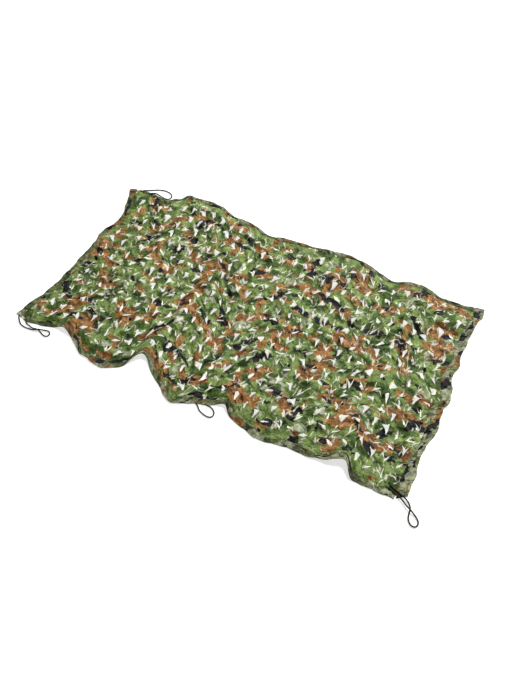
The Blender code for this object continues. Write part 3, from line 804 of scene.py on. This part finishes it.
def foldedProfile(upper):
    # inset and height round the strip: lower layer, half circle at the fold, upper layer
    width, top = bindingValues["width"], bindingValues["top"]
    low = bindingValues["thickness"] / 2 + 0.0001
    radius = (top - low) / 2
    lower = np.stack((np.linspace(width, radius, 4), np.full(4, low)), -1)
    angle = np.linspace(-0.5, 0.5, 7)[1:-1] * math.pi
    fold = np.stack((radius * (1 - np.cos(angle)), low + radius * (1 + np.sin(angle))), -1)
    inset = np.linspace(radius, upper, 14)
    over = np.stack((inset, top - 0.0010 * (inset / upper) ** 4), -1)
    return np.concatenate((lower, fold, over))


def gathers(along, inset, seed):
    # ridges: sum over lengths of length x (1 - 2 |sin|), running across the strip with a slant
    source = np.random.default_rng(seed)
    total = 0 * along + 0 * inset
    longest = bindingValues["gatherLengths"][0]
    for length in np.geomspace(*bindingValues["gatherLengths"]):
        slant = source.uniform(-0.9, 0.9)
        phase = math.pi / length * (along + slant * inset) + source.uniform(0, 6.3)
        swell = 0.6 + 0.4 * np.sin(along * source.uniform(9, 25) + source.uniform(0, 6.3))
        total = total + (1 - 2 * np.abs(np.sin(phase))) * (length / longest) ** 0.7 * swell
    return total / 2.2


def stripSurface(name, along, inset, height):
    # a point of the folded strip: its profile's inset, wobbled, and height, gathered on its upper layer
    seed = sorted(strips).index(name) + 5
    values = bindingValues
    source = np.random.default_rng(seed)
    share = np.clip(inset / upperLayers[name][0], 0, 1)
    sewn = 1 - values["sewn"] * share ** 5
    wobble = sum(
        weight * np.sin(2 * math.pi * along / length + source.uniform(0, 6.3))
        for length, weight in values["wobbles"]
    )
    moved = inset + values["edgeWobble"] * wobble * (0.5 - 1.2 * share)
    onTop = np.clip((height / values["top"] - 0.25) / 0.75, 0, 1)
    swell = 0.30 + 0.85 * np.sin(math.pi * np.clip(0.9 * inset / values["width"], 0, 1))
    ridge = np.maximum(gathers(along, inset, seed) + 0.55, -0.1)
    points = laidOut(*strips[name][3](along, moved))
    points[..., 2] += height + onTop * swell * sewn * values["gather"] * ridge
    return points


def bindingMesh(name):
    # the folded profile swept along the strip, thickened to both sides
    node, start, end, _ = strips[name]
    values = bindingValues
    along = np.linspace(start, end, int((end - start) / values["step"]) + 1)[:, None]
    profile = foldedProfile(upperLayers[name][0])
    along, inset, height = np.broadcast_arrays(along, profile[None, :, 0], profile[None, :, 1])
    points = stripSurface(name, along, inset, height)
    faces = gridQuads(np.arange(inset.size).reshape(inset.shape))
    if name in mirrored:
        faces = faces[:, ::-1]
    colours = dict(bindingPrint, sageFrom=upperLayers[name][1])
    # painted shade: each side's brightness scales the strip's shading, darker on the front and back
    for key, share in zip(("shadeLow", "shadeHigh"), values["shades"]):
        colours[key] = share * upperLayers[name][2] * printValues[key]
    obj = newPiece(name, points, faces, clothMaterials(name + "_print", colours))
    around = np.concatenate(([0.0], np.cumsum(np.hypot(*np.diff(profile, axis=0).T))))
    start = 3.0 * sorted(strips).index(name)
    place = np.stack((along + start, around[None] + 0 * along, 0 * along), -1)
    addAttribute(obj, "flatCut", place)
    thicken(obj, values["thickness"], 0.0)
    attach(obj, "root")
    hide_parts(node)
    return obj


bindings = {name: bindingMesh(name) for name in strips}
print("bindings:", len(bindings), "strips")

# The seams' stitches
seamValues = {
    "inset": 0.004,  # from the strip's inner edge
    "pitch": 0.0055,
    "length": 0.0042,
    "radius": 0.00045,
    "colour": (52, 66, 40),
}
# A stitch from end to end; columns: share of its length, height, share of its radius
stitchProfile = [
    (0, -0.0002, 0.25), (0.25, 0.0005, 0.9), (0.5, 0.0007, 1), (0.75, 0.0005, 0.9), (1, -0.0002, 0.25),
]


def seamMesh():
    # stitches: small bars along a line on each strip, ends sunk into the cloth
    values = seamValues
    share, rise, half = np.array(stitchProfile).T
    half = values["radius"] * half[None, :, None]
    points = []
    for name, (_, start, end, _) in strips.items():
        inset = upperLayers[name][0] - values["inset"]
        first = np.arange(start + 0.004, end - 0.008, values["pitch"])
        along = first[:, None] + share[None] * values["length"]
        middle = stripSurface(name, along, inset + 0 * along, bindingValues["top"] + 0 * along)
        middle[..., 2] += bindingValues["thickness"] / 2 + rise[None]
        run = unit(middle[:, -1] - middle[:, 0])
        side = np.stack((-run[:, 1], run[:, 0], 0 * run[:, 0]), -1)[:, None]
        up = np.array((0.0, 0.0, 1.0))
        ring = [middle + half * out for out in (side, 0.8 * up, -side, -0.8 * up)]
        points.append(np.stack(ring, 2))
    points = np.concatenate(points)
    index = np.arange(points[..., 0].size).reshape(points.shape[:3])
    faces = gridQuads(index, closed=True)[:, ::-1]
    make = nodeMaker(bpy.data.materials.new("seam_thread"))
    make.set("Base Color", linearColour(values["colour"]))
    make.set("Roughness", 0.6)
    obj = newPiece("edge_seams", points, faces, [make.owner])
    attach(obj, "root")
    return obj


seams = seamMesh()
print("seams:", len(seams.data.polygons), "faces")

# The cord loops
cordValues = {
    "diameter": 0.0060,
    "sides": 14,
    "step": 0.0014,
    "plait": 0.10,  # depth of the plait, as a share of the radius
    "plaitTurns": 310.0,  # radians along each metre
    "hidden": 0.008,  # how far each end runs on inside the hem
    "exit": 0.012,  # straight run out of the hem
    "clearance": 0.0006,  # from the hem where it comes out
    "gap": 0.0003,  # under it
    "over": 0.0012,  # between two crossing strands
    "dark": (24, 30, 14),
    "pale": (56, 66, 36),
    "worn": (44, 48, 24),
}
onFloor = cordValues["diameter"] / 2 + cordValues["gap"]
overCord = 1000 * (cordValues["diameter"] + cordValues["over"])
overHem = 1000 * (2 * layout["tape"] + layout["slot"])

# Each loop's route between its ends in millimetres; columns: x, y, height over a cord on the floor
backLeftLoop = [
    (-834, 514, 0), (-818, 524, 0), (-800, 532, 0), (-779, 537, 0), (-757, 537, 0), (-737, 531, 0),
    (-724, 519, 0), (-721, 504, 0), (-728, 492, 0), (-741, 487, 0), (-756, 488, 0), (-773, 492, 0),
]
frontLeftLoop = [
    (-907, -507, 0), (-892, -514, 0), (-873, -517, 0), (-855, -516, 0), (-838, -514, 0),
    (-822, -510, 2.5), (-807, -503, overCord), (-793, -496, 2.5), (-779, -490, 0), (-764, -488, 0),
    (-753, -493, 0), (-749, -503, 0), (-753, -513, 0), (-764, -517, 0), (-779, -514, 0),
    (-793, -508, 0), (-807, -503, 0), (-821, -502, 0), (-835, -505, 0), (-849, -504, 0),
    (-862, -500, 0),
]
frontRightLoop = [
    (866, -494, overHem), (889, -503, overHem), (912, -511, overHem), (934, -519, overHem),
    (950, -527, overHem - 1.5), (963, -538, 0.5), (970, -553, 0), (972, -570, 0), (975, -587, 0),
    (983, -602, 0), (996, -611, 0), (1009, -610, 0), (1016, -599, 0), (1013, -585, 0), (1002, -573, 0),
    (987, -564, 2.8), (970, -556, overCord), (951, -546, overHem), (931, -533, overHem),
    (911, -523, overHem), (888, -514, overHem), (864, -506, overHem),
]
frontMiddleLoop = [
    (43, -537, 0), (60, -544, 0), (78, -548, 0), (94, -548, 0), (104, -541, 0), (106, -529, 0),
    (101, -517, 0), (90, -508, 0),
]


def hemExit(s, slant, outwards, sideT):
    # points on a line at a slant from square to the hem: hidden inside it, clear of it, further out
    # clear of it: (clearance + sine of the slant x radius) / cosine of the slant
    diameter = cordValues["diameter"]
    run = laidOut(s + diameter, sideT) - laidOut(s - diameter, sideT)
    run[2] = 0.0
    square = np.array((-outwards * run[1], outwards * run[0], 0.0))
    out = (math.sin(slant) * run + math.cos(slant) * square) / math.hypot(run[0], run[1])
    clear = (cordValues["clearance"] + math.sin(slant) * diameter / 2) / math.cos(slant)
    hem = laidOut(s, sideT, onFloor)
    end = hem + (clear + cordValues["exit"]) * out
    end[2] = onFloor
    return [hem - cordValues["hidden"] * out, hem + clear * out, end]


def laidRoute(route):
    # the route in metres from the outline's middle
    return 0.001 * np.array(route) - (centreX, centreY, -onFloor)


def hemLoop(route, exits, outwards, sideT):
    # first exit, route, last exit backwards
    first, last = (hemExit(*one, outwards, sideT) for one in exits)
    return np.array(first + list(laidRoute(route)) + last[::-1])


def smoothRoute(knots, spacing):
    # Catmull-Rom curve through the knots, read at an even spacing, never below the floor
    knots = np.vstack((2 * knots[0] - knots[1], knots, 2 * knots[-1] - knots[-2]))
    p0, p1, p2, p3 = (knots[k:len(knots) - 3 + k, None] for k in range(4))
    u = np.linspace(0, 1, 20, endpoint=False)[None, :, None]
    bend = 2 * p0 - 5 * p1 + 4 * p2 - p3
    turn = 3 * p1 - p0 - 3 * p2 + p3
    fine = 0.5 * (2 * p1 + (p2 - p0) * u + bend * u * u + turn * u ** 3)
    fine = np.vstack((fine.reshape(-1, 3), knots[-2]))
    travel = np.concatenate(([0.0], np.cumsum(np.linalg.norm(np.diff(fine, axis=0), axis=1))))
    even = np.linspace(0, travel[-1], max(2, round(travel[-1] / spacing)) + 1)
    route = np.column_stack([np.interp(even, travel, fine[:, k]) for k in range(3)])
    route[:, 2] = np.maximum(route[:, 2], onFloor)
    return route, even


def cordMaterial():
    # fine fibres from dark to pale, worn in larger patches
    make = nodeMaker(bpy.data.materials.new("cord_plait"))
    place = make.attribute("alongCord")
    fibre = make.noise(place, 900.0, 3.0, 0.6)
    dark, pale, worn = (linearColour(cordValues[key]) for key in ("dark", "pale", "worn"))
    share = make.math("MULTIPLY", make.noise(place, 60.0), 0.35)
    make.set("Base Color", make.blend(share, make.blend(fibre, dark, pale), worn))
    make.set("Roughness", 0.75)
    make.set("Specular IOR Level", 0.25)
    make.set("Normal", make.bump(fibre, 0.0003, 0.5))
    return make.owner


def cordLoop(name, node, knots, material):
    # circle round each point of the route, its radius x (1.06 + 0.4 x plait x two crossed cosines)
    values = cordValues
    route, even = smoothRoute(knots, values["step"])
    tangent = unit(np.gradient(route, axis=0))
    side = unit(np.cross((0.0, 0.0, 1.0), tangent))
    up = np.cross(tangent, side)
    angle = np.linspace(0, 2 * math.pi, values["sides"], endpoint=False)[None]
    turns = values["plaitTurns"] * even[:, None]
    strands = np.cos(3 * angle + turns) * np.cos(3 * angle - turns)
    radius = values["diameter"] / 2 * (1.06 + 0.4 * values["plait"] * strands)
    taper = np.minimum(1, 0.35 + np.minimum(even, even[-1] - even) / 0.002)[:, None]
    radius = (radius * taper)[..., None]
    points = route[:, None] + radius * (
        np.cos(angle)[..., None] * side[:, None] + np.sin(angle)[..., None] * up[:, None]
    )
    none = 0 * points[:1]
    points = np.concatenate((route[:1] + none, points, route[-1:] + none))
    index = np.arange(points[..., 0].size).reshape(points.shape[:2])
    index[0], index[-1] = index[0, 0], index[-1, 0]
    obj = newPiece(name, points, gridQuads(index, closed=True), [material])
    full = np.concatenate((even[:1], even, even[-1:]))[:, None]
    place = np.broadcast_arrays(full, 0.002 * np.cos(angle), 0.002 * np.sin(angle))
    addAttribute(obj, "alongCord", np.stack(place, -1))
    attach(obj, "root")
    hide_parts(node)
    path = [tuple(map(float, point)) for point in route[::8]]
    path[-1] = tuple(map(float, route[-1]))
    return obj


plait = cordMaterial()
# Each pair says where an end comes out of the hem: distance along the side, slant from square to it
loopKnots = {
    "loop_back_left": hemLoop(backLeftLoop, ((0.073, 1.03), (0.126, 1.20)), 1, netWidth),
    "loop_front_left": hemLoop(frontLeftLoop, ((0.016, 0.87), (0.061, 1.04)), -1, 0.0),
    "loop_front_middle": hemLoop(frontMiddleLoop, ((0.969, 0.66), (1.010, 1.14)), -1, 0.0),
    "loop_front_right": laidRoute(frontRightLoop),
}
for name, knots in loopKnots.items():
    cordLoop(name + "_cord", name, knots, plait)

# Floor, light, room and camera
stageValues = {
    "floorReach": 12.0,  # from the middle to each side
    "floorPaint": 0.75,
    "floorGlow": 0.62,
    "glowRise": (2.5, 7.0),  # it rises to 1 between these distances, to meet the backdrop
    "sky": 0.11,  # the room's light from above, and from the horizon
    "horizon": 1.0,
    "skyRise": (0.05, 0.22),  # upward parts of the direction between which it changes
    "key": 905.0,  # watts of the soft light
    "keyPlace": (1.2, 5.4, 6.4),
    "keySize": 3.6,
    "lens": 36.63,
    "cameraPlace": (0.9229, -1.7395, 2.522),
    "cameraPitch": 54.3,  # degrees below level
    "cameraTurn": 26.9,
}
values = stageValues
floorPoints = np.array([(-1, -1, 0), (1, -1, 0), (1, 1, 0), (-1, 1, 0)]) * values["floorReach"]
make = nodeMaker(bpy.data.materials.new("floor_white"))
make.set("Base Color", (*[values["floorPaint"]] * 3, 1.0))
make.set("Roughness", 0.9)
make.set("Emission Color", (1.0, 1.0, 1.0, 1.0))
away = make.vector("LENGTH", {0: make.node("ShaderNodeTexCoord").outputs["Object"]}, "Value")
make.set("Emission Strength", make.ramp(away, *values["glowRise"], values["floorGlow"]))
newPiece("floor", floorPoints - (0, 0, 0.0005), np.array([(0, 1, 2, 3)]), [make.owner])

data = bpy.data.lights.new("key", "AREA")
data.shape = "DISK"
data.size = values["keySize"]
data.energy = values["key"]
keyLight = newObject("key", data)
keyLight.location = values["keyPlace"]
keyLight.rotation_euler = (-keyLight.location).to_track_quat("-Z", "Y").to_euler()

# pale at the horizon and darker above, with a white backdrop
world = bpy.data.worlds.new("studio")
make = nodeMaker(world)
direction = make.node("ShaderNodeTexCoord").outputs["Generated"]
upwards = make.node("ShaderNodeSeparateXYZ", {0: direction}).outputs["Z"]
strength = make.ramp(upwards, *values["skyRise"], values["horizon"], values["sky"])
backdrop = make.node("ShaderNodeLightPath").outputs["Is Camera Ray"]
make.set("Strength", make.math("MAXIMUM", strength, backdrop))
make.set("Color", (1.0, 1.0, 1.0, 1.0))
bpy.context.scene.world = world

camera = newObject("camera", bpy.data.cameras.new("camera"))
camera.data.lens = values["lens"]
camera.location = values["cameraPlace"]
down, aside = math.radians(values["cameraPitch"]), math.radians(values["cameraTurn"])
camera.rotation_euler = (math.pi / 2 - down, 0.0, aside)
bpy.context.scene.camera = camera
bpy.context.scene.view_settings.view_transform = "Standard"
print("stage: floor, one soft light, pale room and camera")
